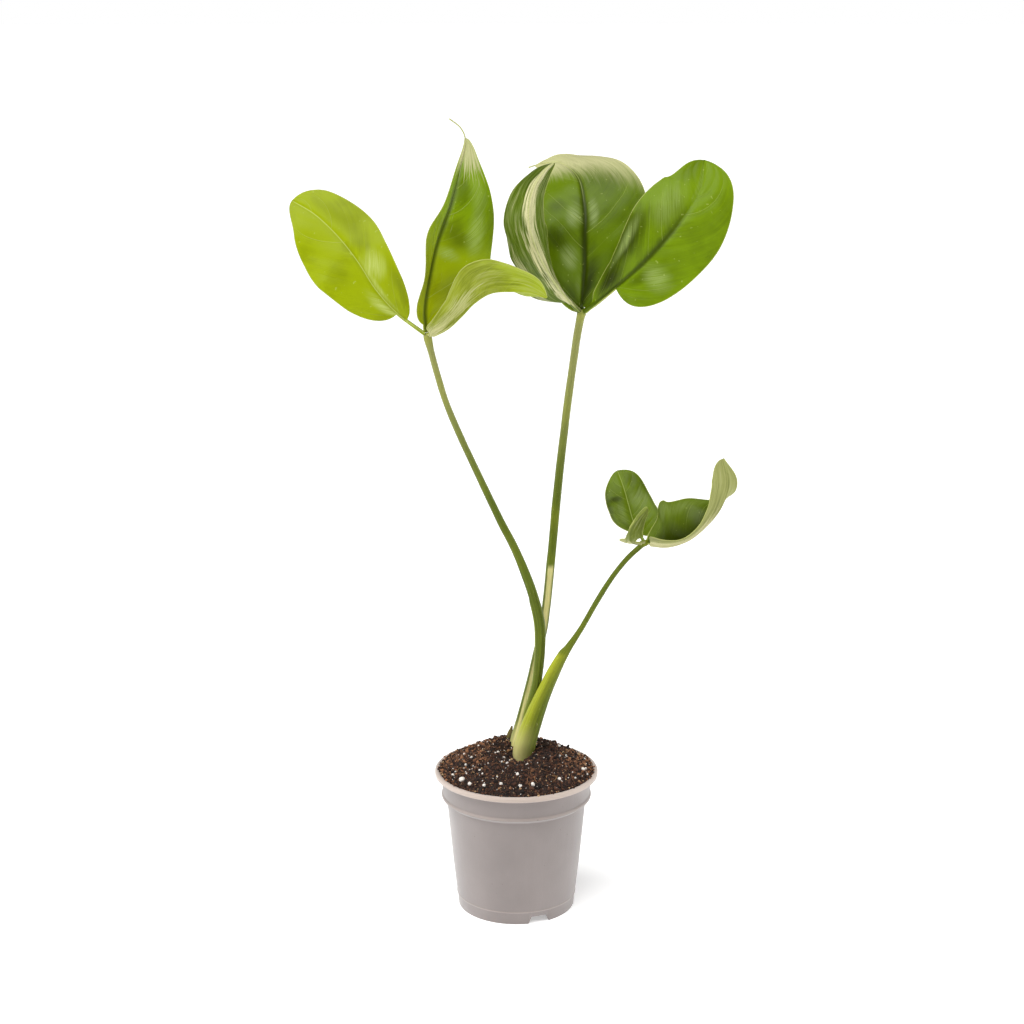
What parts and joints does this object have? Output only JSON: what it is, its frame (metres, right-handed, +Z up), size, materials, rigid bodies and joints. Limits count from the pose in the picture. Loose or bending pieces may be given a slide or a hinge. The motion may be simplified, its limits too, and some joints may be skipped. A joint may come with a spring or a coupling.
{
  "type": "potted philodendron",
  "caption": "Young aroid house plant with long curved petioles that each carry a group of glossy leaflets, standing in a tapered nursery pot of potting mix.",
  "frame": {"origin": "on the floor under the axis of the pot, which is also the middle of the plant's spread to within 3 mm", "axes": "+Z up along the pot's axis, +X to the right of the front view, where the curled small leaf hangs, +Y away from the viewer of the front view"},
  "size_m": [0.3089, 0.1831, 0.5744],
  "materials": {
    "pot_plastic": "satin",
    "potting_mix": "matte",
    "root": "matte",
    "petiole": "satin",
    "lime_leaf": "satin",
    "green_leaf": "gloss",
    "dark_leaf": "satin",
    "dry_sheath": "matte",
    "bark": "matte",
    "perlite": "matte"
  },
  "bodies": {
    "root": {"bark_sliver": "bark", "left_front_leaflet": "lime_leaf", "left_outer_leaflet": "lime_leaf", "left_petiole": "petiole", "left_upright_leaflet": "lime_leaf", "middle_centre_leaflet": "green_leaf", "middle_left_leaflet": "green_leaf", "middle_petiole": "petiole", "middle_right_leaflet": "green_leaf", "perlite_01": "perlite", "perlite_02": "perlite", "perlite_03": "perlite", "perlite_04": "perlite", "perlite_05": "perlite", "perlite_06": "perlite", "perlite_07": "perlite", "perlite_08": "perlite", "perlite_09": "perlite", "perlite_10": "perlite", "perlite_11": "perlite", "perlite_12": "perlite", "perlite_13": "perlite", "perlite_14": "perlite", "perlite_15": "perlite", "perlite_16": "perlite", "perlite_17": "perlite", "perlite_18": "perlite", "pot": "pot_plastic", "potting_mix": "potting_mix", "right_boat_leaflet": "dark_leaf", "right_front_leaflet": "dark_leaf", "right_petiole": "petiole", "right_rear_leaflet": "dark_leaf", "root_crown": "root", "withered_sheath": "dry_sheath"}
  },
  "joints": []
}
